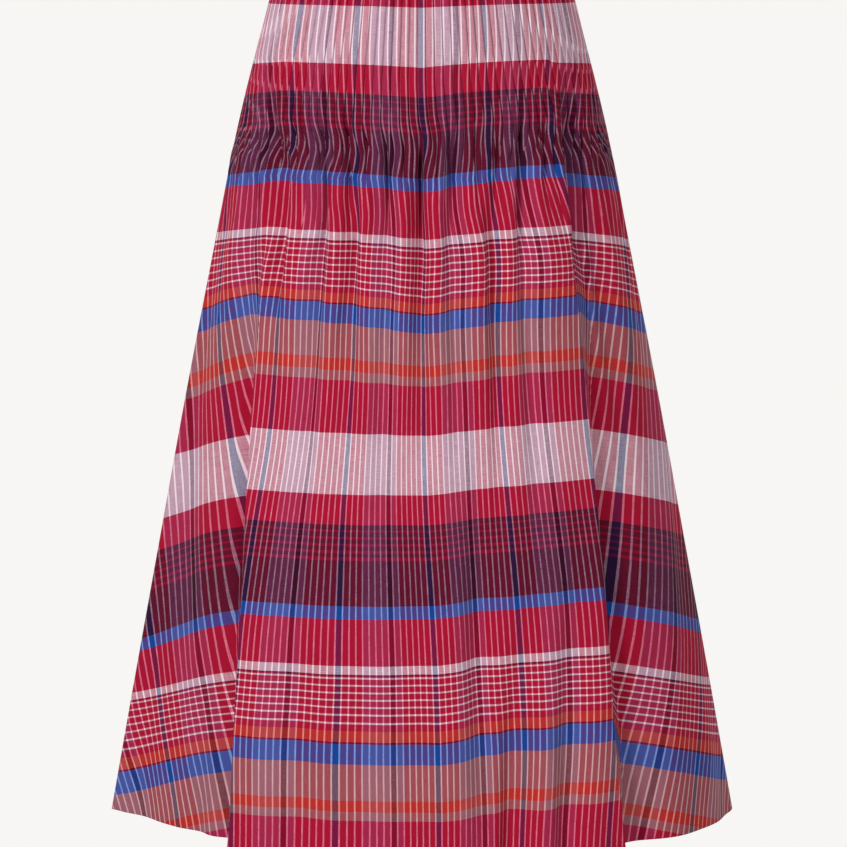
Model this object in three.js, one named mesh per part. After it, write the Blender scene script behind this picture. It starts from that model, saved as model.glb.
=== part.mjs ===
// A long gathered skirt of checked cotton, filled out as if worn and hollow inside.
// Millimetres, +Z up, the front towards -Y. The origin is the middle of the waist, at its top edge.
//
// Each panel is one wall of cloth. Level sections of the skirt are worked out from the tables below:
// a rounded oval, deep flutes that swing in behind the front, and soft folds that hang from the tucks.
import * as THREE from 'three';

// Overall sizes
const HEM_DROP = 900; // waist top to hem
const BAND_HEIGHT = 36;
const BAND_WALL = 2.4; // two layers of cloth
const CLOTH_WALL = 1.2;
const SEAM_GAP = 0.3; // left between pieces that are sewn together

// Tucks: stitched down from the band to the release line, where they open into folds
const TUCKS_PER_PANEL = 50;
const TUCK_HEIGHT = 1.5; // how far a tuck's ridge stands out of the wall
const RELEASE_DROP = 208;
const TUCK_FADE = 70; // length over which a released tuck flattens
const TUCK_SPREAD = 0.05; // how much closer together than even the tucks are in a panel's middle

// Level sections: drop below the waist, half width, depth in front of and behind the side seams
const SECTIONS = [
  { drop: 0, half: 128, front: 88, back: 94 },
  { drop: 83, half: 150, front: 98, back: 106 },
  { drop: 205, half: 181.5, front: 116, back: 124 },
  { drop: 329, half: 207, front: 132, back: 138 },
  { drop: 479, half: 237, front: 150, back: 153 },
  { drop: 632, half: 266, front: 163, back: 166 },
  { drop: 786, half: 295, front: 175, back: 178 },
  { drop: 900, half: 316, front: 184, back: 186 },
];
const OVAL_POWER = 2.1; // 2 is an ellipse, more is boxier

// Flutes: the cloth turns in sharply outside an edge, then comes back out slowly to the side seam.
// The edge lies at x = hip at the release line and x = hem at the hem. A flute's depth is a narrow crease
// beside the edge and a broad hollow beyond it, both given at the hem. The crease grows first.
const CREASE_GROWTH = 0.5;
const HOLLOW_GROWTH = 0.8;
const FLUTES = [
  { face: 'front', hip: -150, hem: -190, crease: 22, hollow: 43, from: 250 },
  { face: 'front', hip: 137, hem: 201, crease: 20, hollow: 9, from: 150 },
  { face: 'back', hip: -128, hem: -205, crease: 34, hollow: 12, from: 200 },
  { face: 'back', hip: 146, hem: 182, crease: 26, hollow: 32, from: 290 },
];
// Shares of the two depths, at shares of the way from a flute's edge to the side seam
const FLUTE_PROFILE = [
  { way: 0, crease: 0, hollow: 0 },
  { way: 0.08, crease: 0.7, hollow: 0.3 },
  { way: 0.17, crease: 1, hollow: 0.5 },
  { way: 0.3, crease: 0.5, hollow: 0.7 },
  { way: 0.5, crease: 0.1, hollow: 0.94 },
  { way: 0.7, crease: 0, hollow: 1 },
  { way: 0.87, crease: 0, hollow: 0.66 },
  { way: 1, crease: 0, hollow: 0 },
];

// Soft folds: a trough's place at the release line and at the hem, its depth and half width, and the
// drops where it starts, is deepest and has died out
const FOLDS = [
  { face: 'front', hip: -164, hem: -262, depth: 8, wide: 11, from: 205, peak: 300, to: 620 },
  { face: 'front', hip: -139, hem: -168, depth: 16, wide: 9, from: 195, peak: 250, to: 500 },
  { face: 'front', hip: -98, hem: -128, depth: 12, wide: 9, from: 200, peak: 280, to: 680 },
  { face: 'front', hip: -69, hem: -84, depth: 14, wide: 9, from: 205, peak: 310, to: 560 },
  { face: 'front', hip: -35, hem: -46, depth: 10, wide: 9, from: 200, peak: 290, to: 700 },
  { face: 'front', hip: -2, hem: 2, depth: 16, wide: 9, from: 200, peak: 300, to: 600 },
  { face: 'front', hip: 30, hem: 38, depth: 10, wide: 8, from: 200, peak: 290, to: 620 },
  { face: 'front', hip: 70, hem: 84, depth: 12, wide: 9, from: 200, peak: 320, to: 800 },
  { face: 'front', hip: 98, hem: 126, depth: 11, wide: 8, from: 205, peak: 300, to: 660 },
  { face: 'front', hip: 162, hem: 262, depth: 8, wide: 11, from: 205, peak: 300, to: 640 },
  { face: 'front', hip: 44, hem: 66, depth: 14, wide: 16, from: 420, peak: 720, to: 1100 },
  { face: 'front', hip: 92, hem: 94, depth: 21, wide: 14, from: 600, peak: 900, to: 1400 },
  { face: 'front', hip: 150, hem: 146, depth: 14, wide: 14, from: 520, peak: 860, to: 1400 },
  { face: 'front', hip: -110, hem: -122, depth: 5, wide: 22, from: 560, peak: 860, to: 1300 },
  { face: 'front', hip: -200, hem: -268, depth: 8, wide: 17, from: 600, peak: 900, to: 1400 },
  { face: 'back', hip: -158, hem: -258, depth: 8, wide: 12, from: 200, peak: 300, to: 700 },
  { face: 'back', hip: -112, hem: -142, depth: 15, wide: 10, from: 200, peak: 270, to: 600 },
  { face: 'back', hip: -78, hem: -101, depth: 11, wide: 9, from: 205, peak: 300, to: 680 },
  { face: 'back', hip: -41, hem: -52, depth: 15, wide: 9, from: 195, peak: 290, to: 620 },
  { face: 'back', hip: -10, hem: -16, depth: 10, wide: 9, from: 200, peak: 280, to: 560 },
  { face: 'back', hip: 24, hem: 34, depth: 15, wide: 9, from: 200, peak: 310, to: 700 },
  { face: 'back', hip: 58, hem: 70, depth: 10, wide: 8, from: 205, peak: 280, to: 580 },
  { face: 'back', hip: 91, hem: 118, depth: 13, wide: 10, from: 200, peak: 310, to: 660 },
  { face: 'back', hip: 128, hem: 158, depth: 9, wide: 9, from: 195, peak: 260, to: 500 },
  { face: 'back', hip: 166, hem: 266, depth: 8, wide: 12, from: 205, peak: 310, to: 640 },
  { face: 'back', hip: -50, hem: -72, depth: 18, wide: 20, from: 480, peak: 860, to: 1400 },
  { face: 'back', hip: 40, hem: 48, depth: 15, wide: 17, from: 560, peak: 900, to: 1400 },
  { face: 'back', hip: 96, hem: 116, depth: 11, wide: 16, from: 520, peak: 800, to: 1300 },
];

// The wall's grid: two columns to a tuck, and rows closer together where the tucks open
const COLUMNS = 2 * TUCKS_PER_PANEL;
const ROW_DROPS = [
  BAND_HEIGHT + SEAM_GAP, 120, 195, 222, 262, 320, 390, 465, 545, 630, 720, 812, HEM_DROP,
];
const TRACE_STEPS = 720; // fine steps along half a section, to measure its length
const LONGEST_MITRE = 1.6; // in wall thicknesses, at the sharpest bends
const BAND_SIDES = 72;

const CHECK_RED = 0xa8142e;
const BAND_RED = 0x9c1630;

const clamp01 = (t) => Math.min(1, Math.max(0, t));
const smooth = (from, to, x) => {
  const t = clamp01((x - from) / (to - from));
  return t * t * (3 - 2 * t);
};
const mix = (a, b, t) => a + (b - a) * t;

// A smooth curve through a table's rows: the value of one column at x of another
function along(table, key, column, x) {
  const last = table.length - 1;
  const i = Math.min(last - 1, Math.max(0, table.findLastIndex((row) => row[key] <= x)));
  const width = table[i + 1][key] - table[i][key];
  const t = clamp01((x - table[i][key]) / width);
  const slope = (j) => {
    const before = table[Math.max(0, j - 1)];
    const after = table[Math.min(last, j + 1)];
    return ((after[column] - before[column]) / (after[key] - before[key])) * width;
  };
  const [a, b] = [table[i][column], table[i + 1][column]];
  return (
    a * (1 + 2 * t) * (1 - t) ** 2 + b * t * t * (3 - 2 * t)
    + slope(i) * t * (1 - t) ** 2 + slope(i + 1) * t * t * (t - 1)
  );
}

// Everything that one level section needs; depth is that of the face's own half
function sectionAt(drop, face) {
  const half = along(SECTIONS, 'drop', 'half', drop);
  const depth = along(SECTIONS, 'drop', face, drop);
  const placed = (row) => mix(row.hip, row.hem, (drop - RELEASE_DROP) / (HEM_DROP - RELEASE_DROP));
  const angleAt = (x) => {
    const reach = Math.min(1, Math.abs(x / half));
    return Math.atan2(x, depth * (1 - reach ** OVAL_POWER) ** (1 / OVAL_POWER));
  };
  const flutes = FLUTES.filter((row) => row.face === face && row.from < drop).map((row) => {
    const wayDown = (drop - row.from) / (HEM_DROP - row.from);
    const crease = row.crease * wayDown ** CREASE_GROWTH;
    const hollow = row.hollow * wayDown ** HOLLOW_GROWTH;
    return { edge: angleAt(placed(row)), crease, hollow };
  });
  const folds = FOLDS.filter((row) => row.face === face).map((row) => ({
    angle: angleAt(placed(row)),
    wide: row.wide,
    depth: row.depth * smooth(row.from, row.peak, drop) * (1 - smooth(row.peak, row.to, drop)),
  }));
  return { drop, face, half, depth, flutes, folds };
}

// The wall's outer radius at an angle from straight ahead, -90 to 90 degrees, in radians
function radiusAt(section, angle) {
  const { half, depth, flutes, folds } = section;
  const across = Math.abs(Math.sin(angle) / half) ** OVAL_POWER;
  const ahead = Math.abs(Math.cos(angle) / depth) ** OVAL_POWER;
  const oval = (across + ahead) ** (-1 / OVAL_POWER);
  let radius = oval;
  for (const flute of flutes) {
    const way = clamp01((angle - flute.edge) / (Math.sign(flute.edge) * Math.PI / 2 - flute.edge));
    radius -= flute.crease * along(FLUTE_PROFILE, 'way', 'crease', way);
    radius -= flute.hollow * along(FLUTE_PROFILE, 'way', 'hollow', way);
  }
  for (const fold of folds) {
    const off = ((angle - fold.angle) * oval) / fold.wide;
    radius -= fold.depth * Math.exp(-off * off);
  }
  return radius;
}

// The share of a panel's length that lies before a column
function shareAt(column) {
  const place = (2 * column) / COLUMNS - 1;
  return (1 + place * (1 - TUCK_SPREAD) + TUCK_SPREAD * place ** 3) / 2;
}

// Points along one half section, from side seam to side seam, at the columns of the wall's grid
function tracePanel(section) {
  const facing = section.face === 'front' ? -1 : 1;
  const fine = Array.from({ length: TRACE_STEPS + 1 }, (_, step) => {
    const angle = (step / TRACE_STEPS - 0.5) * Math.PI;
    const radius = radiusAt(section, angle);
    return new THREE.Vector2(radius * Math.sin(angle), facing * radius * Math.cos(angle));
  });
  const lengths = [0];
  for (let i = 1; i <= TRACE_STEPS; i++) lengths.push(lengths[i - 1] + fine[i].distanceTo(fine[i - 1]));
  let i = 1;
  const points = Array.from({ length: COLUMNS + 1 }, (_, column) => {
    const reach = lengths[TRACE_STEPS] * shareAt(column);
    while (lengths[i] < reach && i < TRACE_STEPS) i++;
    return fine[i - 1].clone().lerp(fine[i], (reach - lengths[i - 1]) / (lengths[i] - lengths[i - 1]));
  });
  for (const end of [points[0], points[COLUMNS]]) end.y = (facing * SEAM_GAP) / 2;
  return points;
}

// The way out of the wall at each point, as long as keeps the wall's thickness round a bend. At a side
// seam it is square to the skirt's side, so that the two panels' edges lie parallel.
function outwardAt(points, column, facing) {
  if (column % COLUMNS === 0) {
    const edge = points[column].clone().sub(points[column === 0 ? 1 : column - 1]);
    const reach = Math.min(LONGEST_MITRE, edge.length() / Math.abs(edge.y));
    return new THREE.Vector2(Math.sign(points[column].x) * reach, 0);
  }
  const before = points[column].clone().sub(points[column - 1]).normalize();
  const after = points[column + 1].clone().sub(points[column]).normalize();
  const heading = before.clone().add(after).normalize();
  const outward = new THREE.Vector2(-facing * heading.y, facing * heading.x);
  return outward.multiplyScalar(Math.min(LONGEST_MITRE, 1 / heading.dot(after)));
}

// One wall of cloth: an outer grid with the tucks raised in it, an inner grid, and four edges
function panelGeometry(face) {
  const facing = face === 'front' ? -1 : 1;
  const rows = ROW_DROPS.map((drop) => {
    const raise = TUCK_HEIGHT * (1 - smooth(RELEASE_DROP, RELEASE_DROP + TUCK_FADE, drop));
    const points = tracePanel(sectionAt(drop, face));
    return points.map((point, column) => {
      const outward = outwardAt(points, column, facing);
      const sunk = column % 2 ? raise : 0;
      return {
        outer: point.clone().addScaledVector(outward, -sunk),
        inner: point.clone().addScaledVector(outward, -sunk - CLOTH_WALL),
        z: -drop,
      };
    });
  });
  const positions = [];
  for (const side of ['outer', 'inner']) {
    for (const row of rows) {
      for (const place of row) positions.push(place[side].x, place[side].y, place.z);
    }
  }
  const stride = COLUMNS + 1;
  const at = (side, row, column) => (side * rows.length + row) * stride + column;
  const quads = [];
  const lastRow = rows.length - 1;
  for (let row = 0; row < lastRow; row++) {
    for (let column = 0; column < COLUMNS; column++) {
      const [left, right] = [column, column + 1];
      quads.push([at(0, row, left), at(0, row + 1, left), at(0, row + 1, right), at(0, row, right)]);
      quads.push([at(1, row, left), at(1, row, right), at(1, row + 1, right), at(1, row + 1, left)]);
    }
    quads.push([at(0, row, 0), at(1, row, 0), at(1, row + 1, 0), at(0, row + 1, 0)]);
    quads.push([
      at(0, row, COLUMNS), at(0, row + 1, COLUMNS), at(1, row + 1, COLUMNS), at(1, row, COLUMNS),
    ]);
  }
  for (let column = 0; column < COLUMNS; column++) {
    const [left, right] = [column, column + 1];
    quads.push([at(0, 0, left), at(0, 0, right), at(1, 0, right), at(1, 0, left)]);
    quads.push([
      at(0, lastRow, left), at(1, lastRow, left), at(1, lastRow, right), at(0, lastRow, right),
    ]);
  }
  return closedMesh(positions, facing < 0 ? quads : quads.map((quad) => quad.reverse()));
}

function closedMesh(positions, quads) {
  const geometry = new THREE.BufferGeometry();
  geometry.setAttribute('position', new THREE.Float32BufferAttribute(positions, 3));
  geometry.setIndex(quads.flatMap(([a, b, c, d]) => [a, b, c, a, c, d]));
  geometry.computeVertexNormals();
  return geometry;
}

// A plain upright band on the oval of the waist, its lower edge just clear of the panels' tops
function waistbandGeometry() {
  const rings = [
    { z: 0, inset: 0 },
    { z: -BAND_HEIGHT, inset: 0 },
    { z: -BAND_HEIGHT, inset: BAND_WALL },
    { z: 0, inset: BAND_WALL },
  ];
  const positions = [];
  for (const { z, inset } of rings) {
    for (let side = 0; side < BAND_SIDES; side++) {
      const turn = (side / BAND_SIDES) * 2 * Math.PI;
      const face = Math.cos(turn) >= 0 ? 'front' : 'back';
      const half = along(SECTIONS, 'drop', 'half', -z) - inset;
      const depth = along(SECTIONS, 'drop', face, -z) - inset;
      const bend = (value) => Math.sign(value) * Math.abs(value) ** (2 / OVAL_POWER);
      positions.push(half * bend(Math.sin(turn)), -depth * bend(Math.cos(turn)), z);
    }
  }
  const quads = [];
  for (let ring = 0; ring < rings.length; ring++) {
    for (let side = 0; side < BAND_SIDES; side++) {
      const [below, next] = [(ring + 1) % rings.length, (side + 1) % BAND_SIDES];
      const at = (r, s) => r * BAND_SIDES + s;
      quads.push([at(ring, side), at(below, side), at(below, next), at(ring, next)]);
    }
  }
  return closedMesh(positions, quads);
}

function pieceMesh(name, geometry, color) {
  const material = new THREE.MeshStandardMaterial({ color, roughness: 0.9, metalness: 0 });
  const mesh = new THREE.Mesh(geometry, material);
  mesh.name = name;
  return mesh;
}

const skirt = new THREE.Group();
skirt.add(pieceMesh('front_panel', panelGeometry('front'), CHECK_RED));
skirt.add(pieceMesh('back_panel', panelGeometry('back'), CHECK_RED));
skirt.add(pieceMesh('waistband', waistbandGeometry(), BAND_RED));

export default skirt;
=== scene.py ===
"""A long checked skirt, filled out as if worn: tucked from its waistband to the hip line, then flared.

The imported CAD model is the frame. Each panel of cloth is a fine shell on its solid's form, made from the
same level sections, with what the solid leaves out: the tucks' round section, the narrow creases, the
ripples and the turned edges. Sizes are in millimetres up to the meshes, which are in metres. The front
faces -Y and the waist is at the origin.
"""

import math

import bpy
import numpy as np
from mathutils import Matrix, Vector


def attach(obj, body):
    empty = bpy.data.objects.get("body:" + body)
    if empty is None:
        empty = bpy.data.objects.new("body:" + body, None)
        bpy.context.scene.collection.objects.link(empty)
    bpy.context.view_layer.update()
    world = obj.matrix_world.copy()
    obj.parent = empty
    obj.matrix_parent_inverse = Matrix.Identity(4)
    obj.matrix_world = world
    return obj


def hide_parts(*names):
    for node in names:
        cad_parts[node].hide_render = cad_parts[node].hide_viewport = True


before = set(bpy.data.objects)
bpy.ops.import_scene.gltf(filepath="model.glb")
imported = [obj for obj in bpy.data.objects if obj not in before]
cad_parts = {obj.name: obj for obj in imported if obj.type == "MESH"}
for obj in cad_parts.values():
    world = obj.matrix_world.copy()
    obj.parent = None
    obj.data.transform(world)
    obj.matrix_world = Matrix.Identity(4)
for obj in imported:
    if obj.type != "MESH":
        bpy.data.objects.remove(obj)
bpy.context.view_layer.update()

MM = 0.001
HEM_DROP = 900.0
SEAM_GAP = 0.3
FACING = {"front": -1, "back": 1}  # the way along Y that each panel faces

# Tucks: stitched down from the band to the release line
TUCKS_PER_PANEL = 50
TUCK_HEIGHT = 1.5
RELEASE_DROP = 208.0
TUCK_FADE = 70.0
TUCK_SPREAD = 0.05  # how much closer together the tucks are at a panel's middle
# Each tuck lets go at its own drop and fades at its own rate: the range, and where it lies
RELEASE_RANGE = 18.0
RELEASE_BIAS = 0.7
FADE_LEAST = 0.4
FADE_RANGE = 1.6
SALTS = {"front": 1, "back": 2}  # these keep the two panels' tucks from being alike
FADE_SALT = 4
HASH = (12.9898, 78.233, 43758.5453)  # the usual numbers for an uneven but steady value from a sine
ROUNDING = 1e-6  # keeps a column on a tuck's first edge within that tuck
# A tuck across its pitch: a flat face between two crevices. The shell's columns lie at these phases.
TUCK_FACE = 0.88
TUCK_PROFILE = {
    "phase": (0, 0.06, 0.12, 0.3, 0.5, 0.7, 0.88, 0.94, 1),
    "rise": (-1.7, -0.8, -0.15, -0.03, 0, -0.03, -0.15, -0.8, -1.7),
}

# The level sections: the same as the solids', and so are the flutes and the folds
SECTIONS = {
    "drop": (0, 83, 205, 329, 479, 632, 786, 900),
    "half": (128, 150, 181.5, 207, 237, 266, 295, 316),
    "front": (88, 98, 116, 132, 150, 163, 175, 184),
    "back": (94, 106, 124, 138, 153, 166, 178, 186),
}
OVAL_POWER = 2.1

# Half of a panel's own width of cloth, seam to middle, at drops below the waist
CLOTH_WIDTH = {
    "drop": (0, 120, 198, 236, 329, 479, 632, 786, 900),
    "half": (312, 322, 346, 324, 322, 352, 386, 432, 480),
}
# How much wider than evenly the cloth lies from a panel's middle on, and what is added towards its seams
CLOTH_SPREAD = {
    "drop": (0, 205, 320, 500, 700, 900),
    "middle": (0, 0, 0.12, 0.25, 0.09, 0.02),
    "edge": (0, 0, 0, 0, 0.12, 0.25),
}
# The cloth's middle line drifts aside below the hip
DRIFT = 18.0
DRIFT_CENTRE = -40.0
DRIFT_DROPS = (400, 780)
DRIFT_REACH = 110.0
# How the weft lies, for the left and right of the front (the other way round on the back): the width
# coordinate of the flute's edge, the lift towards that edge, the step down in the flute's crease and the
# slope beyond it; then the cloth that the crease takes from inside its edge and from beyond it
WEFT_LIE = {
    -1: {
        "drop": (90, 240, 300, 370, 490, 560, 720, 800, 900),
        "edge": (200, 205, 215, 235, 248, 252, 262, 268, 272),
        "lift": (2, 8, 9, 14, 3, 0, -2, 0, 0),
        "step": (0, 0, 0, 0, 11, 12, 18, 21, 21),
        "slope": (0, 0.13, 0.14, 0.29, 0.41, 0.49, 0.53, 0.42, 0.4),
        "inside": (0, 0, 0, 0, 3, 8, 20, 30, 38),
        "beyond": (0, 0, 0, 10, 32, 44, 56, 60, 62),
    },
    1: {
        "drop": (90, 240, 300, 370, 490, 560, 720, 800, 900),
        "edge": (195, 200, 212, 226, 232, 236, 246, 262, 272),
        "lift": (3, 13, 12, 16, 11, 11, 13, 16, 6),
        "step": (0, 9, 8, 8, 12, 15, 22, 27, 24),
        "slope": (0, 0.1, 0.18, 0.29, 0.33, 0.36, 0.38, 0.34, 0.32),
        "inside": (0, -6, 6, 14, 22, 26, 36, 42, 44),
        "beyond": (0, 10, 14, 22, 36, 44, 54, 56, 58),
    },
}
CREASE_REACH = 16.0  # how much of the cloth's width lies in a flute's crease
SLOPE_START = 0.78  # the share of the cloth beyond a crease that is passed where the slope begins

# The powers by which a flute's crease and the hollow beyond it deepen on the way down
CREASE_GROWTH = 0.5
HOLLOW_GROWTH = 0.8
# Flutes: face, edge's x at the release line and at the hem, the depths at the hem of its crease and of
# the hollow, and the drop where it starts
FLUTES = (
    ("front", -150, -190, 22, 43, 250),
    ("front", 137, 201, 20, 9, 150),
    ("back", -128, -205, 34, 12, 200),
    ("back", 146, 182, 26, 32, 290),
)
# A flute's section from its edge to the side seam, as shares of its depths
FLUTE_PROFILE = {
    "way": (0, 0.08, 0.17, 0.3, 0.5, 0.7, 0.87, 1),
    "crease": (0, 0.7, 1, 0.5, 0.1, 0, 0, 0),
    "hollow": (0, 0.3, 0.5, 0.7, 0.94, 1, 0.66, 0),
}

# Soft folds: face, x at the release line and at the hem, depth, half width, and the drops where the
# trough starts, is deepest and has died out
FOLDS = (
    ("front", -164, -262, 8, 11, 205, 300, 620),
    ("front", -139, -168, 16, 9, 195, 250, 500),
    ("front", -98, -128, 12, 9, 200, 280, 680),
    ("front", -69, -84, 14, 9, 205, 310, 560),
    ("front", -35, -46, 10, 9, 200, 290, 700),
    ("front", -2, 2, 16, 9, 200, 300, 600),
    ("front", 30, 38, 10, 8, 200, 290, 620),
    ("front", 70, 84, 12, 9, 200, 320, 800),
    ("front", 98, 126, 11, 8, 205, 300, 660),
    ("front", 162, 262, 8, 11, 205, 300, 640),
    ("front", 44, 66, 14, 16, 420, 720, 1100),
    ("front", 92, 94, 21, 14, 600, 900, 1400),
    ("front", 150, 146, 14, 14, 520, 860, 1400),
    ("front", -110, -122, 5, 22, 560, 860, 1300),
    ("front", -200, -268, 8, 17, 600, 900, 1400),
    ("back", -158, -258, 8, 12, 200, 300, 700),
    ("back", -112, -142, 15, 10, 200, 270, 600),
    ("back", -78, -101, 11, 9, 205, 300, 680),
    ("back", -41, -52, 15, 9, 195, 290, 620),
    ("back", -10, -16, 10, 9, 200, 280, 560),
    ("back", 24, 34, 15, 9, 200, 310, 700),
    ("back", 58, 70, 10, 8, 205, 280, 580),
    ("back", 91, 118, 13, 10, 200, 310, 660),
    ("back", 128, 158, 9, 9, 195, 260, 500),
    ("back", 166, 266, 8, 12, 205, 310, 640),
    ("back", -50, -72, 18, 20, 480, 860, 1400),
    ("back", 40, 48, 15, 17, 560, 900, 1400),
    ("back", 96, 116, 11, 16, 520, 800, 1300),
)

# Narrow creases at the foot of the tucks, and a long one beside each flute of the front: too fine for the
# solids, with the same columns as the folds
CREASES = (
    ("front", -150, -180, 15, 9, 140, 235, 400),
    ("front", -174, -216, 8, 7, 300, 620, 1300),
    ("front", -124, -142, 5, 2.6, 180, 222, 320),
    ("front", -98, -128, 9, 3, 170, 232, 350),
    ("front", -73, -90, 7, 2.4, 165, 222, 320),
    ("front", -54, -66, 5, 2.2, 185, 226, 290),
    ("front", -36, -46, 9, 3, 180, 236, 350),
    ("front", -18, -22, 4, 2.2, 190, 228, 280),
    ("front", -2, 2, 7, 2.6, 185, 240, 330),
    ("front", 15, 18, 4, 2.2, 180, 222, 290),
    ("front", 28, 36, 9, 3, 170, 228, 350),
    ("front", 53, 66, 6, 2.4, 180, 224, 310),
    ("front", 74, 90, 6, 2.6, 185, 236, 330),
    ("front", 96, 124, 9, 3, 170, 230, 350),
    ("front", 118, 146, 5, 2.4, 180, 222, 290),
    ("front", 147, 210, 17, 8.5, 140, 245, 500),
    ("front", 148, 212, 9, 8, 360, 640, 1300),
    ("front", 160, 250, 5, 3, 180, 225, 330),
    ("front", -160, -250, 5, 3, 180, 225, 330),
    ("back", -136, -214, 14, 5, 150, 240, 520),
    ("back", -112, -142, 9, 3, 175, 232, 350),
    ("back", -94, -118, 5, 2.4, 180, 222, 290),
    ("back", -76, -99, 8, 3, 170, 226, 330),
    ("back", -58, -74, 5, 2.2, 185, 228, 300),
    ("back", -41, -52, 9, 3, 175, 236, 350),
    ("back", -10, -16, 7, 2.6, 180, 226, 320),
    ("back", 7, 10, 4, 2.2, 185, 222, 280),
    ("back", 24, 34, 9, 3, 170, 234, 350),
    ("back", 58, 70, 6, 2.6, 180, 224, 310),
    ("back", 76, 96, 5, 2.2, 185, 228, 300),
    ("back", 91, 118, 9, 3, 175, 232, 340),
    ("back", 128, 158, 8, 3, 160, 226, 360),
    ("back", 152, 200, 12, 5, 160, 240, 460),
)

# Ripples, in millimetres. A wave's row: its pitch over 2 pi, how far its phase sways, and the pitches of
# that sway along the crests and across them. A beat's row: its pitches across the cloth and down it.
FINE_PLEAT = (3.1, 0.9, 61, math.inf)
COARSE_PLEAT = (4.7, 0.7, 83, 40)
PLEAT_BEAT = (17, 90)
COARSE_SHARE = 0.8
PLEAT_HEIGHT = 0.9
PLEATS_GROW = (RELEASE_DROP - 10, RELEASE_DROP + 25)
PLEATS_FADE = (250, 520)
BROAD_WAVES = ((21, 1.3, 140, 120), (9.3, 1.1, 170, 90))
BROAD_HEIGHT = 0.9
BROAD_GROW = (RELEASE_DROP, 420)
CRUSH_WAVE = (23, 2.3, 38, math.inf)
CRUSH_BEAT = (29, 75)
CRUSH_HEIGHT = 0.32
BACK_TURN = 2.1  # the phase that sets the back's ripples apart from the front's
SEAM_REACH = 0.02  # the share of a panel's width over which its ripples die out at a seam

# Fine grid of a panel's shell
TRACE_STEPS = 1800
ROW_RUNS = ((33, 190, 5), (190, 330, 2.5), (330, 897, 4.5))  # first drop, last drop, step
# The turned edges: share of the width or drop, and how far inside the face that point lies
SEAM_TURN = ((0.0125, 1.4), (0.006, 1.4), (0.0012, 1.2), (0, 0.6))
HEM_TURN = ((898.9, 0), (899.7, 0.25), (900, 0.8), (899.7, 1.35), (898.9, 1.6), (893, 1.8), (885, 1.8))
HEM_FOLD = 2  # the number of the hem turn's lowest point

# The band, doubled and folded at its top edge
BAND_COLUMNS = 420
BAND_LENGTH = 720.0
BAND_JOIN = 0.25  # the share of a turn from the middle of the front to the band's join, towards -X
BAND_CLOTH_DROP = 46.0  # the band is cut from the plain red weft, this far down the check
# Its folded section: how far out from the cloth below it, and how far down, each point lies
BAND_SECTION = (
    (-0.6, 0), (0.3, 0.3), (0.85, 1.1), (1, 2.4), (1, 8), (1, 14), (1, 20), (1, 26), (1, 30),
    (0.7, 32.6), (0.35, 33.6), (0.75, 34.6), (0.9, 35.6), (0.6, 36.2), (-0.4, 36.3),
    (-1.6, 36.2), (-2.2, 35.2), (-2.3, 33.6), (-2.3, 30), (-2.3, 24), (-2.3, 16), (-2.3, 8),
    (-2.2, 2.4), (-2, 1.1), (-1.4, 0.3),
)
BAND_OUTSIDE_POINTS = 15  # the first of them are on the outside
# Its puckers at the foot and waves at the top: how many go round, how far they sway and how often
PUCKERS = (97, 1.7, 11)
PUCKER_HEIGHT = 0.28
PUCKER_DROPS = (20, 34)
BAND_WAVES = (23, 2, 5)
BAND_WAVE_HEIGHT = 0.2
BAND_WAVE_DROPS = (0, 8)
STITCH_ROWS = {"outside": 0.45, "inside": -2.3}  # how far out from the cloth below the band
STITCH_DROP = 33.6
STITCH_PITCH = 3.2
STITCH_LENGTH = 2.5
STITCH_RADIUS = 0.24
STITCH_SIDES = 6
# A stitch from end to end: the place on its half length, and the share of its radius
STITCH_SHAPE = ((-1, 0.2), (-0.8, 0.7), (-0.35, 1), (0.35, 1), (0.8, 0.7), (1, 0.2))

# The check, charted. One repeat across the warp is 15 cells of the same width, each with a stripe
# of its thread and half a pale line at each edge; a row gives the cells of one thread side by side.
WARP_REPEAT = 100.0
WARP_CELLS = (("denim", 1), ("red", 3), ("lavender", 4), ("dark", 1), ("lavender", 1), ("red", 5))
WARP_CELL_COUNT = sum(count for _, count in WARP_CELLS)
PALE_LINE = 1.45
CENTRE_STRIPE = 1.5  # how far a denim stripe lies from a panel's middle, towards -X
# Bands down the weft, in order: thread and width
WEFT_BANDS = (
    ("white", 56.5), ("red", 28.5), ("fine lines", 34), ("maroon", 43.5), ("blue", 12.5), ("red", 45),
    ("white", 8.2), ("dark line", 1.6), ("grid", 51.2), ("orange", 9.3), ("dark line", 1.6),
    ("blue", 17.2), ("rose", 30.5), ("orange", 10.5), ("rose", 8.6), ("red", 46.3),
)
BAND_THREADS = {"fine lines": "maroon", "grid": "red", "dark line": "dark"}
WEFT_REPEAT = sum(width for _, width in WEFT_BANDS)
FIRST_BAND_DROP = 87.6  # where the first white band starts, below the waist
# Drops on the cloth and in the chart: the last orange, blue and rose bands are broader than the repeat's
BORDER = {"cloth": (0, 758, 844, 1000), "chart": (0, 758, 832, 988)}
GRID_LINES = 7  # white lines along the grid band
GRID_PITCH = 7.1
GRID_LINE = 1.6
FIRST_GRID_LINE = 1.2
FINE_LINES = 5  # red lines in the fine-lined band, each at the foot of its share, thicker lower down
FINE_LINE = (1.5, 3.4)  # their thickness at the band's top and at its foot
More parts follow.
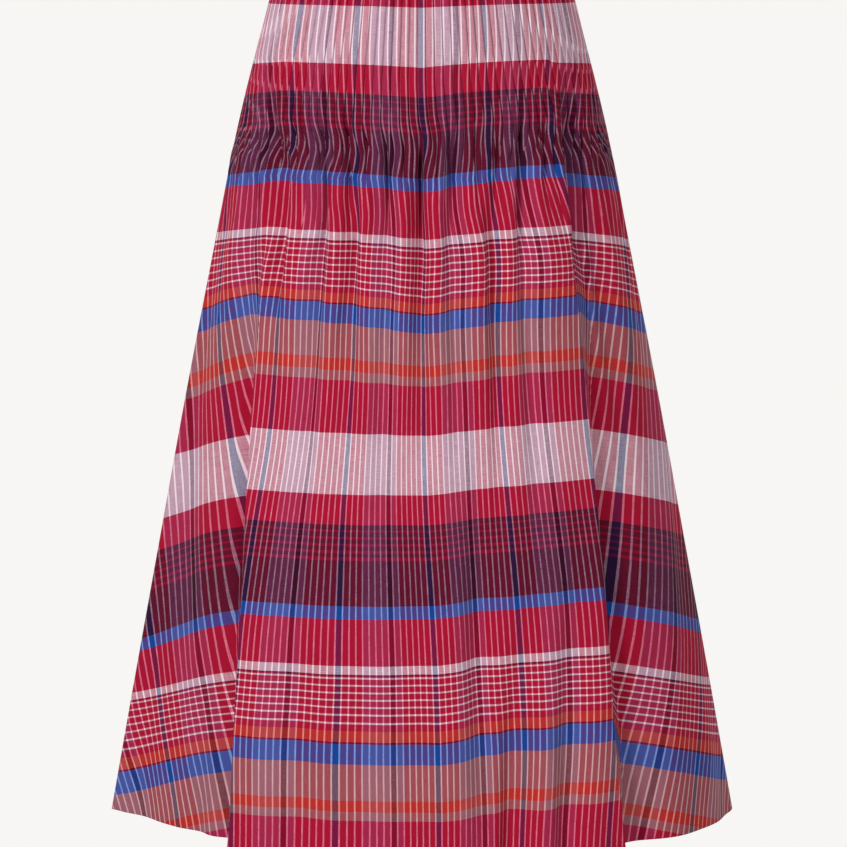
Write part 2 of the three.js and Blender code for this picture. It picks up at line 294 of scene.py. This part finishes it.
# Thread colours as they look woven, in sRGB from 0 to 1; the pale warp line is a thick bright yarn
THREADS = {
    "red": (0.66, 0.085, 0.205),
    "fine line": (0.45, 0.06, 0.19),
    "white": (0.87, 0.885, 0.9),
    "pale line": (1.08, 0.85, 0.92),
    "lavender": (0.63, 0.26, 0.415),
    "denim": (0.2, 0.12, 0.33),
    "dark": (0.33, 0.02, 0.16),
    "maroon": (0.17, 0.075, 0.16),
    "blue": (0.03, 0.385, 0.77),
    "orange": (0.77, 0.28, 0.18),
    "rose": (0.61, 0.475, 0.445),
}
WEFT_SHARE = 0.57  # how much of the colour comes from the weft where two threads cross
UV_MIDDLE = 0.5  # the texture's u at a panel's middle, in metres

# Looks. A yarn's noise: its cycles a millimetre across the cloth and down it, and its seed.
WARP_YARN = ((2.1, 0.09), 0.0)
WEFT_YARN = ((0.09, 2.1), 7.0)
YARN_DETAIL = (1.0, 2.0, 0.6)  # scale, detail and roughness
YARN_LEAD = 0.5  # how much further the thicker of two crossing yarns shows
YARN_SHADE = (0.16, 0.84)  # the noise's share of the brightness, and what brings the mean back to 1
PATCH_NOISE = (0.03, 3.0)  # slow unevenness over the cloth: cycles a millimetre, and detail
PATCH_SEED = 3.0
PATCH_SHADE = (0.16, 0.92)
DISPLAY_GAMMA = 2.2
CLOTH_BUMP = (0.35, 0.0004)  # strength, and depth in metres
CLOTH_LOOK = {"Roughness": 0.9, "Specular IOR Level": 0.12, "Sheen Weight": 0.02, "Sheen Roughness": 0.5}
THREAD_NOISE = (2600.0, 2.0)
THREAD_TONES = ((0.16, 0.012, 0.025, 1), (0.32, 0.03, 0.055, 1))
THREAD_BUMP = (0.5, 0.0001)
THREAD_LOOK = {"Roughness": 0.6}

# Studio, in metres
CAMERA_AT = (0.0015, -3.3, 0.0)
CAMERA_AIM = (0.0015, 0.0, -0.503)
CAMERA_LENS = 141.87  # millimetres
CAMERA_REACH = 400
PALE = (0.939, 0.922, 0.905)
FLOOR_Z = -1.25
FLOOR_SIZE = 160
FLOOR_CELLS = 8
BACKDROP_RADIUS = 100
# Soft lights: place, size, and power in watts
LIGHTS = (
    ((-2.8, -3.8, 1.3), 1.8, 165),
    ((2.9, -3.4, 0.6), 2.4, 52),
    ((-2.8, 3.4, 1.4), 2.4, 70),
    ((2.8, 3.6, 1.2), 2.4, 70),
)
LIGHT_AIM = (0, 0, -0.5)
AMBIENT = 0.3


# The cloth's form, and where the check lies on it
def steady(index, salt):
    """The same uneven number from 0 to 1 each run, for each index."""
    wave_height = np.abs(np.sin(np.asarray(index, float) * HASH[0] + salt * HASH[1]))
    return np.modf(wave_height * HASH[2])[0]


def smooth(low, high, x):
    """A step from 0 to 1 between low and high, with soft ends."""
    t = np.clip((x - low) / (high - low), 0, 1)
    return t * t * (3 - 2 * t)


def along(table, key, column, x):
    """A smooth curve through a table's rows, the same as the solids follow."""
    keys = np.array(table[key], float)
    values = np.array(table[column], float)
    x = np.asarray(x, float)
    before = np.maximum(np.arange(len(keys)) - 1, 0)
    after = np.minimum(np.arange(len(keys)) + 1, len(keys) - 1)
    slopes = (values[after] - values[before]) / (keys[after] - keys[before])
    i = np.clip(np.searchsorted(keys, x, side="right") - 1, 0, len(keys) - 2)
    width = keys[i + 1] - keys[i]
    t = np.clip((x - keys[i]) / width, 0, 1)
    return (
        values[i] * (1 + 2 * t) * (1 - t) ** 2
        + values[i + 1] * t * t * (3 - 2 * t)
        + slopes[i] * width * t * (1 - t) ** 2
        + slopes[i + 1] * width * t * t * (t - 1)
    )


def section_radius(face, drop, angles):
    """The wall's radius at angles from straight ahead, on one level section."""
    half = along(SECTIONS, "drop", "half", drop)
    depth = along(SECTIONS, "drop", face, drop)
    way_down = (drop - RELEASE_DROP) / (HEM_DROP - RELEASE_DROP)

    def angle_at(hip, hem):
        x = hip + (hem - hip) * way_down
        ahead = depth * (1 - min(1.0, abs(x / half)) ** OVAL_POWER) ** (1 / OVAL_POWER)
        return math.atan2(x, ahead)

    across = np.abs(np.sin(angles) / half) ** OVAL_POWER
    ahead = np.abs(np.cos(angles) / depth) ** OVAL_POWER
    oval = (across + ahead) ** (-1 / OVAL_POWER)
    radius = oval.copy()
    for side, hip, hem, crease, hollow, start in FLUTES:
        if side != face or drop <= start:
            continue
        edge = angle_at(hip, hem)
        way = np.clip((angles - edge) / (math.copysign(math.pi / 2, edge) - edge), 0, 1)
        grown = (drop - start) / (HEM_DROP - start)
        radius -= crease * grown ** CREASE_GROWTH * along(FLUTE_PROFILE, "way", "crease", way)
        radius -= hollow * grown ** HOLLOW_GROWTH * along(FLUTE_PROFILE, "way", "hollow", way)
    for side, hip, hem, deepest, wide, start, peak, end in FOLDS + CREASES:
        if side != face:
            continue
        strength = smooth(start, peak, drop) * (1 - smooth(peak, end, drop))
        off = (angles - angle_at(hip, hem)) * oval / wide
        radius -= deepest * strength * np.exp(-off * off)
    return radius


def trace_section(face, drop, shares):
    """Points at shares of the cloth's length along one half section, and the way out at each."""
    facing = FACING[face]
    angles = (np.arange(TRACE_STEPS + 1) / TRACE_STEPS - 0.5) * math.pi
    radius = section_radius(face, drop, angles)
    x, y = radius * np.sin(angles), facing * radius * np.cos(angles)
    reach = np.concatenate([[0], np.cumsum(np.hypot(np.diff(x), np.diff(y)))])
    heading = np.arctan2(np.gradient(y), np.gradient(x))
    at = shares * reach[-1]
    heading = np.interp(at, reach, heading)
    points = np.stack([np.interp(at, reach, x), np.interp(at, reach, y)], axis=-1)
    outward = np.stack([-facing * np.sin(heading), facing * np.cos(heading)], axis=-1)
    return points, outward


def share_at(place):
    """The share of a panel's length that lies before a place: the tucks are closer at the middle."""
    t = 2 * place - 1
    return (1 + t * (1 - TUCK_SPREAD) + TUCK_SPREAD * t ** 3) / 2


def tuck_layout(places, drops, lengths, face):
    """How far the tucks raise the cloth, and the cloth's own width coordinate, for a grid of points."""
    salt = SALTS[face]
    tuck = places * TUCKS_PER_PANEL + 0.5
    number = np.floor(tuck + ROUNDING)
    phase = tuck - number
    release = RELEASE_DROP + RELEASE_RANGE * (steady(number, salt) - RELEASE_BIAS)
    fade = TUCK_FADE * (FADE_LEAST + FADE_RANGE * steady(number, salt + FADE_SALT))
    standing = 1 - smooth(release, release + fade, drops)
    rise = TUCK_HEIGHT * standing * np.interp(phase, TUCK_PROFILE["phase"], TUCK_PROFILE["rise"])
    half = along(CLOTH_WIDTH, "drop", "half", drops)
    shown = TUCK_FACE * lengths / (2 * half)
    off = np.abs(phase - 0.5)
    on_face = shown * off / TUCK_FACE
    in_crevice = 0.5 - (0.5 - shown / 2) * (0.5 - off) / (0.5 - TUCK_FACE / 2)
    folded = number + np.sign(phase - 0.5) * np.where(off < TUCK_FACE / 2, on_face, in_crevice)
    tucked = (folded / TUCKS_PER_PANEL * 2 - 1) * half
    return rise, standing * tucked + (1 - standing) * (2 * share_at(places) - 1) * half


def wave(across, on, turn, pitch, sway, sway_on, sway_across):
    """A wave across the cloth, whose crests run on down it and wander; or the other way round."""
    return np.sin(across / pitch + turn + sway * np.sin(on / sway_on + across / sway_across))


def ripples(across, drops, face):
    """Small uneven waves in the cloth, in millimetres: strongest where the tucks open."""
    turn = 0.0 if face == "front" else BACK_TURN
    pleats = wave(across, drops, turn, *FINE_PLEAT)
    pleats *= np.sin(across / PLEAT_BEAT[0] + drops / PLEAT_BEAT[1])
    pleats += COARSE_SHARE * wave(across, drops, 2 * turn, *COARSE_PLEAT)
    fresh = smooth(*PLEATS_GROW, drops) * (1 - smooth(*PLEATS_FADE, drops))
    broad = sum(wave(across, drops, turn, *row) for row in BROAD_WAVES)
    crush = wave(drops, across, 0.0, *CRUSH_WAVE)
    crush *= np.sin(across / CRUSH_BEAT[0] + drops / CRUSH_BEAT[1] + turn)
    slow = BROAD_HEIGHT * smooth(*BROAD_GROW, drops) * broad
    return PLEAT_HEIGHT * fresh * pleats + slow + CRUSH_HEIGHT * crush


def near_seam(shares):
    """1 over the panel, falling to 0 at its seams, where the two panels must meet."""
    return smooth(0, SEAM_REACH, shares) * smooth(0, SEAM_REACH, 1 - shares)


def by_side(u, drops, column, face):
    """A column of WEFT_LIE at each point, from the table of the side that the point lies on."""
    sides = (FACING[face], -FACING[face])
    left, right = (along(WEFT_LIE[side], "drop", column, drops) for side in sides)
    return np.where(u < 0, left, right)


def cloth_across(loose, drops, face):
    """The cloth's own width coordinate, where it isn't spread evenly over the panel."""
    half = along(CLOTH_WIDTH, "drop", "half", drops)
    way = (loose / half) ** 2
    middle, edge = (along(CLOTH_SPREAD, "drop", column, drops) for column in ("middle", "edge"))
    u = loose * (1 + (middle + edge * way) * (1 - way))
    drift = DRIFT * smooth(*DRIFT_DROPS, drops) * np.exp(-(((u - DRIFT_CENTRE) / DRIFT_REACH) ** 2))
    flute = by_side(u, drops, "edge", face)
    inside = -by_side(u, drops, "inside", face) * np.minimum(1, np.abs(u) / flute)
    left_over = np.clip((half - np.abs(u)) / (half - flute), 0, 1)
    beyond = by_side(u, drops, "beyond", face) * left_over ** 2
    past = smooth(flute, flute + CREASE_REACH, np.abs(u))
    return u - drift + np.sign(u) * (inside + (beyond - inside) * past)


def droop(u, drops, face):
    """How far the weft hangs below its level at the panel's middle."""
    edge = by_side(u, drops, "edge", face)
    far = edge + CREASE_REACH + SLOPE_START * by_side(u, drops, "beyond", face)
    way = np.minimum(1, np.abs(u) / edge)
    step = by_side(u, drops, "step", face) * smooth(edge, far, np.abs(u))
    lift = by_side(u, drops, "lift", face) * way * (2 - way)
    return step + by_side(u, drops, "slope", face) * np.maximum(0, np.abs(u) - far) - lift


def panel_on_check(loose, drops, face):
    """Where a panel's points lie on the flat check, in millimetres: u across it and v down it."""
    u = cloth_across(loose, drops, face)
    v = np.interp(drops - droop(u, drops, face), BORDER["cloth"], BORDER["chart"])
    fold = len(v) - len(HEM_TURN) + HEM_FOLD
    v[fold:] = 2 * v[fold:fold + 1] - v[fold:]
    edge = len(SEAM_TURN)
    u[:, :edge] = 2 * u[:, edge:edge + 1] - u[:, :edge]
    u[:, -edge:] = 2 * u[:, -edge - 1:-edge] - u[:, -edge:]
    return u, v


# Meshes
def texture_points(u, v):
    """One texture point in metres for each point's place on the check."""
    return np.stack([u * MM + UV_MIDDLE, v * MM], axis=-1).reshape(-1, 2)


def mesh_object(name, points, quads, uv=None):
    """A smooth-shaded object from points in millimetres, quads, and a texture point for each point."""
    mesh = bpy.data.meshes.new(name)
    mesh.vertices.add(len(points))
    mesh.vertices.foreach_set("co", (np.asarray(points, float) * MM).ravel())
    mesh.loops.add(quads.size)
    mesh.loops.foreach_set("vertex_index", quads.ravel())
    mesh.polygons.add(len(quads))
    mesh.polygons.foreach_set("loop_start", np.arange(0, quads.size, 4))
    if uv is not None:
        layer = mesh.uv_layers.new(name="cloth")
        layer.uv.foreach_set("vector", uv[quads.ravel()].ravel())
    mesh.update(calc_edges=True)
    mesh.validate()
    mesh.shade_smooth()
    piece = bpy.data.objects.new(name, mesh)
    bpy.context.scene.collection.objects.link(piece)
    return piece


def grid_quads(rows, columns, flip=False, ring=False):
    """Quads over a grid of points; ring joins the last row to the first."""
    upper = np.arange(rows if ring else rows - 1)
    row, column = np.meshgrid(upper, np.arange(columns - 1), indexing="ij")
    here = row * columns + column
    below = (row + 1) % rows * columns + column
    corners = [here, below, below + 1, here + 1]
    if flip:
        corners.reverse()
    return np.stack(corners, axis=-1).reshape(-1, 4)


def panel_columns():
    """Each column's place across a panel, from 0 to 1, and how far inside the face it lies."""
    numbers = np.arange(TUCKS_PER_PANEL + 1)[:, None]
    tucks = (numbers + TUCK_PROFILE["phase"][:-1] - 0.5) / TUCKS_PER_PANEL
    face = [(place, 0.0) for place in (0.0, *tucks[(tucks > 0) & (tucks < 1)], 1.0)]
    far_turn = [(1 - place, inset) for place, inset in reversed(SEAM_TURN)]
    return np.array([*SEAM_TURN, *face, *far_turn], float).T


def panel_rows():
    """Each row's drop, and how far inside the face it lies."""
    face = [(drop, 0.0) for run in ROW_RUNS for drop in np.arange(*run)]
    return np.array([*face, *HEM_TURN], float).T


def panel_shell(face):
    """A panel as one surface, with its seam edges and its hem turned in."""
    places, seam_inset = panel_columns()
    drops, hem_inset = panel_rows()
    shares = share_at(places)
    traced = [trace_section(face, drop, shares) for drop in drops]
    base = np.array([points for points, _ in traced])
    outward = np.array([out for _, out in traced])
    edge = len(SEAM_TURN)
    steps = np.moveaxis(np.diff(base[:, edge:-edge], axis=1), -1, 0)
    length = np.hypot(*steps).sum(axis=1)[:, None]
    share_grid, drop_grid = np.meshgrid(shares, drops)
    place_grid = np.broadcast_to(places, share_grid.shape)

    rise, loose = tuck_layout(place_grid, drop_grid, length, face)
    relief = rise + ripples((share_grid - 0.5) * length, drop_grid, face) * near_seam(share_grid)
    relief -= np.maximum(seam_inset[None, :], hem_inset[:, None])
    flat = base + outward * relief[..., None]
    flat[..., 1] += FACING[face] * SEAM_GAP / 2
    points = np.concatenate([flat, -drop_grid[..., None]], axis=-1).reshape(-1, 3)
    uv = texture_points(*panel_on_check(loose, drop_grid, face))
    quads = grid_quads(len(drops), len(places), flip=face == "back")
    return mesh_object(f"{face}_cloth", points, quads, uv)


def bent(value):
    """A sine or cosine, bent from a circle's to the oval's."""
    return np.sign(value) * np.abs(value) ** (2 / OVAL_POWER)


def band_point(turn, drop, out):
    """A point on the band's oval, at a turn from the middle of the front."""
    ahead = along(SECTIONS, "drop", "front", drop)
    behind = along(SECTIONS, "drop", "back", drop)
    depth = np.where(np.cos(turn) >= 0, ahead, behind)
    half = along(SECTIONS, "drop", "half", drop)
    return (half + out) * bent(np.sin(turn)), -(depth + out) * bent(np.cos(turn))


def band_wave(turn, drop):
    """How far the band stands in or out by its puckers and its own slight waves."""
    def swaying(count, sway, often):
        return np.sin(turn * count + sway * np.sin(turn * often))

    pucker = PUCKER_HEIGHT * swaying(*PUCKERS) * smooth(*PUCKER_DROPS, drop)
    return pucker + BAND_WAVE_HEIGHT * swaying(*BAND_WAVES) * smooth(*BAND_WAVE_DROPS, drop)


def band_cloth():
    """The doubled band, joined end to end at one side seam."""
    out, down = np.array(BAND_SECTION, float).T
    turn = (np.arange(BAND_COLUMNS + 1) / BAND_COLUMNS - BAND_JOIN) * 2 * math.pi
    turn_grid, down_grid = np.meshgrid(turn, down)
    x, y = band_point(turn_grid, down_grid, out[:, None] + band_wave(turn_grid, down_grid))
    points = np.stack([x, y, -down_grid], axis=-1).reshape(-1, 3)
    inside = (np.arange(len(down)) >= BAND_OUTSIDE_POINTS)[:, None]
    v = BAND_CLOTH_DROP + np.where(inside, -down_grid, down_grid)
    uv = texture_points(turn_grid / (2 * math.pi) * BAND_LENGTH, v)
    return mesh_object("band_cloth", points, grid_quads(len(down), BAND_COLUMNS + 1, ring=True), uv)


def stitch_row(side):
    """A row of stitches round one side of the band, just above its lower edge."""
    count = int(BAND_LENGTH / STITCH_PITCH)
    middles = (np.arange(count) + 0.5) / count * 2 * math.pi
    reach = STITCH_LENGTH / BAND_LENGTH * math.pi
    ways, thick = np.array(STITCH_SHAPE, float).T
    thick = thick[:, None] * STITCH_RADIUS
    turn = (middles[:, None] + ways * reach)[..., None]
    around = np.arange(STITCH_SIDES + 1) / STITCH_SIDES * 2 * math.pi
    lift = STITCH_ROWS[side] + thick * np.sin(around)
    drop = STITCH_DROP + thick * np.cos(around)
    turn, lift, drop = np.broadcast_arrays(turn, lift[None], drop[None])
    x, y = band_point(turn, drop, lift + band_wave(turn, drop))
    points = np.stack([x, y, -drop], axis=-1).reshape(-1, 3)
    one = grid_quads(len(ways), STITCH_SIDES + 1)
    size = len(ways) * (STITCH_SIDES + 1)
    quads = (np.arange(count)[:, None, None] * size + one).reshape(-1, 4)
    return mesh_object(f"band_stitches_{side}", points, quads)


# Materials
def put(tree, socket, value):
    """Links a socket to another, or gives it a plain value."""
    if isinstance(value, bpy.types.NodeSocket):
        tree.links.new(value, socket)
    else:
        socket.default_value = value


def add(tree, kind, *inputs, **settings):
    """A new shader node; each input is a value, a socket to link, or None to leave it."""
    made = tree.nodes.new(f"ShaderNode{kind}")
    for key, value in settings.items():
        setattr(made, key, value)
    for socket, value in zip(made.inputs, inputs):
        if value is not None:
            put(tree, socket, value)
    return made


def calc(tree, operation, *inputs):
    """A sum, product or comparison of numbers and sockets."""
    return add(tree, "Math", *inputs, operation=operation).outputs[0]


def mix(tree, share, first, second, blend_type="MIX"):
    """Two colours mixed by a share."""
    made = add(tree, "Mix", share, data_type="RGBA", blend_type=blend_type)
    for socket, value in zip(made.inputs[6:8], (first, second)):
        put(tree, socket, value)
    return made.outputs[2]


def thread_colour(name):
    """The colour of a band's or a stripe's thread, as a shader takes it."""
    return (*THREADS[BAND_THREADS.get(name, name)], 1)


def stripes(tree, at, rows):
    """Plain threads one after another, each over the width its row gives."""
    (name, start), *rest = rows
    colour = thread_colour(name)
    for name, width in rest:
        reached = calc(tree, "GREATER_THAN", at, start)
        colour = mix(tree, reached, colour, thread_colour(name))
        start += width
    return colour


def yarn_noise(tree, u, v, cycles, seed):
    """Noise drawn out along a thread, for its cycles a millimetre across the cloth and down it."""
    x = calc(tree, "MULTIPLY", u, cycles[0])
    y = calc(tree, "MULTIPLY", v, cycles[1])
    point = add(tree, "CombineXYZ", x, y, seed).outputs[0]
    return add(tree, "TexNoise", point, None, *YARN_DETAIL).outputs[0]


def band_place(band):
    """Where a weft band starts in the repeat, and its width."""
    names = [name for name, _ in WEFT_BANDS]
    index = names.index(band)
    return sum(width for _, width in WEFT_BANDS[:index]), WEFT_BANDS[index][1]


def within(tree, at, start, width):
    """1 from start on, over the width, and 0 elsewhere."""
    off = calc(tree, "ABSOLUTE", calc(tree, "SUBTRACT", at, start + width / 2))
    return calc(tree, "LESS_THAN", off, width / 2)


def grid_lines(tree, down):
    """1 on the white lines along the grid band."""
    start = band_place("grid")[0] + FIRST_GRID_LINE
    share = calc(tree, "FRACT", calc(tree, "DIVIDE", calc(tree, "SUBTRACT", down, start), GRID_PITCH))
    on_line = calc(tree, "LESS_THAN", share, GRID_LINE / GRID_PITCH)
    return calc(tree, "MULTIPLY", on_line, within(tree, down, start, GRID_LINES * GRID_PITCH))


def fine_lines(tree, down):
    """1 on the fine lines along the band named after them."""
    start, width = band_place("fine lines")
    line = calc(tree, "MULTIPLY", calc(tree, "SUBTRACT", down, start), FINE_LINES / width)
    growth = (FINE_LINE[1] - FINE_LINE[0]) / width
    thickness = calc(tree, "MULTIPLY_ADD", line, growth, FINE_LINE[0] * FINE_LINES / width)
    line_start = calc(tree, "SUBTRACT", 1.0, thickness)
    on_line = calc(tree, "GREATER_THAN", calc(tree, "FRACT", line), line_start)
    return calc(tree, "MULTIPLY", on_line, within(tree, down, start, width))


def weft_colour(tree, v):
    """The colour of the weft at v millimetres down the cloth."""
    repeat = calc(tree, "DIVIDE", calc(tree, "SUBTRACT", v, FIRST_BAND_DROP), WEFT_REPEAT)
    down = calc(tree, "MULTIPLY", calc(tree, "FRACT", repeat), WEFT_REPEAT)
    colour = stripes(tree, down, WEFT_BANDS)
    colour = mix(tree, grid_lines(tree, down), colour, thread_colour("white"))
    return mix(tree, fine_lines(tree, down), colour, thread_colour("fine line"))


def warp_colour(tree, u):
    """The colour of the warp at u millimetres from the panel's middle."""
    repeat = calc(tree, "DIVIDE", calc(tree, "ADD", u, CENTRE_STRIPE), WARP_REPEAT)
    way = calc(tree, "FRACT", calc(tree, "ADD", repeat, 0.5 / WARP_CELL_COUNT))
    cells = calc(tree, "MULTIPLY", way, WARP_CELL_COUNT)
    colour = stripes(tree, cells, WARP_CELLS)
    off = calc(tree, "ABSOLUTE", calc(tree, "SUBTRACT", calc(tree, "FRACT", cells), 0.5))
    line_share = PALE_LINE / WARP_REPEAT * WARP_CELL_COUNT
    on_line = calc(tree, "GREATER_THAN", off, 0.5 - line_share / 2)
    return mix(tree, on_line, colour, thread_colour("pale line"))


def new_material(name):
    """A material with its node tree and its shader."""
    material = bpy.data.materials.new(name)
    material.use_nodes = True
    tree = material.node_tree
    return material, tree, tree.nodes["Principled BSDF"]


def finish_shader(tree, shader, colour, height, bump, look):
    """Gives a shader its colour, its bump from a height, and its plain values."""
    tree.links.new(colour, shader.inputs["Base Color"])
    relief = add(tree, "Bump", *bump)
    tree.links.new(height, relief.inputs["Height"])
    tree.links.new(relief.outputs[0], shader.inputs["Normal"])
    for name, value in look.items():
        shader.inputs[name].default_value = value


def shade(tree, noise, share, rest):
    """A brightness near 1 that varies with a noise."""
    return calc(tree, "ADD", calc(tree, "MULTIPLY", noise, share), rest)


def check_material(name):
    """Yarn-dyed cotton: each crossing of warp and weft mixes its two threads' colours."""
    material, tree, shader = new_material(name)
    flat = add(tree, "UVMap", uv_map="cloth").outputs[0]
    parts = add(tree, "SeparateXYZ", flat)
    u = calc(tree, "MULTIPLY", calc(tree, "SUBTRACT", parts.outputs[0], UV_MIDDLE), 1 / MM)
    v = calc(tree, "MULTIPLY", parts.outputs[1], 1 / MM)

    warp_yarn = yarn_noise(tree, u, v, *WARP_YARN)
    weft_yarn = yarn_noise(tree, u, v, *WEFT_YARN)
    lead = calc(tree, "MULTIPLY", calc(tree, "SUBTRACT", weft_yarn, warp_yarn), YARN_LEAD)
    weft_share = calc(tree, "ADD", lead, WEFT_SHARE)
    colour = mix(tree, weft_share, warp_colour(tree, u), weft_colour(tree, v))

    place = add(tree, "CombineXYZ", u, v, PATCH_SEED).outputs[0]
    patches = add(tree, "TexNoise", place, None, *PATCH_NOISE).outputs[0]
    yarns = calc(tree, "ADD", warp_yarn, weft_yarn)
    light = calc(tree, "MULTIPLY", shade(tree, patches, *PATCH_SHADE), shade(tree, yarns, *YARN_SHADE))
    shaded = add(tree, "Gamma", colour, DISPLAY_GAMMA).outputs[0]
    bright = add(tree, "CombineColor", light, light, light).outputs[0]
    colour = mix(tree, 1.0, shaded, bright, "MULTIPLY")
    finish_shader(tree, shader, colour, yarns, CLOTH_BUMP, CLOTH_LOOK)
    return material


def thread_material():
    """Dark red sewing thread with a slight twist."""
    material, tree, shader = new_material("sewing_thread")
    place = add(tree, "TexCoord").outputs["Object"]
    twist = add(tree, "TexNoise", place, None, *THREAD_NOISE).outputs[0]
    finish_shader(tree, shader, mix(tree, twist, *THREAD_TONES), twist, THREAD_BUMP, THREAD_LOOK)
    return material


def paper_material():
    """Even pale paper, bright enough to stay one tone from floor to backdrop."""
    material, tree, shader = new_material("studio_paper")
    tree.nodes.remove(shader)
    glow = add(tree, "Emission", (*PALE, 1), 1.0)
    tree.links.new(glow.outputs[0], tree.nodes["Material Output"].inputs[0])
    return material


# Studio
def aimed(thing, place, aim):
    """Puts a camera or a light in the scene, turned towards a point."""
    thing.location = place
    thing.rotation_euler = (Vector(aim) - Vector(place)).to_track_quat("-Z", "Y").to_euler()
    bpy.context.scene.collection.objects.link(thing)


def set_camera(scene):
    """The photo's view of the front."""
    camera = bpy.data.objects.new("camera", bpy.data.cameras.new("camera"))
    camera.data.lens = CAMERA_LENS
    camera.data.clip_end = CAMERA_REACH
    aimed(camera, CAMERA_AT, CAMERA_AIM)
    scene.camera = camera


def set_lights(scene):
    """The soft lights, and a pale world around them."""
    for index, (place, size, power) in enumerate(LIGHTS):
        lamp = bpy.data.lights.new(f"soft_light_{index}", "AREA")
        lamp.size = size
        lamp.energy = power
        aimed(bpy.data.objects.new(lamp.name, lamp), place, LIGHT_AIM)
    world = bpy.data.worlds.new("studio")
    world.use_nodes = True
    background = world.node_tree.nodes["Background"]
    background.inputs["Color"].default_value = (*PALE, 1)
    background.inputs["Strength"].default_value = AMBIENT
    scene.world = world


def set_paper():
    """The floor and the backdrop, which light nothing and take no shadow."""
    paper = paper_material()
    cells = {"x_subdivisions": FLOOR_CELLS, "y_subdivisions": FLOOR_CELLS}
    bpy.ops.mesh.primitive_grid_add(**cells, size=FLOOR_SIZE, location=(0, 0, FLOOR_Z))
    floor = bpy.context.object
    floor.name = "floor"
    bpy.ops.mesh.primitive_ico_sphere_add(subdivisions=4, radius=BACKDROP_RADIUS)
    backdrop = bpy.context.object
    backdrop.name = "backdrop"
    for piece in (floor, backdrop):
        piece.data.materials.append(paper)
        piece.visible_diffuse = False
        piece.visible_glossy = False
        piece.visible_shadow = False


def studio():
    """The camera, the soft lights, the floor and the backdrop."""
    scene = bpy.context.scene
    scene.view_settings.view_transform = "Standard"
    set_camera(scene)
    set_lights(scene)
    set_paper()


# The skirt
def dress():
    """Every piece of the skirt, in place of the solids."""
    check = check_material("check_cotton")
    band_check = check_material("band_cotton")
    thread = thread_material()
    for face in ("front", "back"):
        panel = panel_shell(face)
        panel.data.materials.append(check)
        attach(panel, "root")
        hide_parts(f"{face}_panel")
    band = band_cloth()
    band.data.materials.append(band_check)
    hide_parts("waistband")
    stitching = [stitch_row(side) for side in STITCH_ROWS]
    for row in stitching:
        row.data.materials.append(thread)
    for piece in (band, *stitching):
        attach(piece, "root")


dress()
studio()
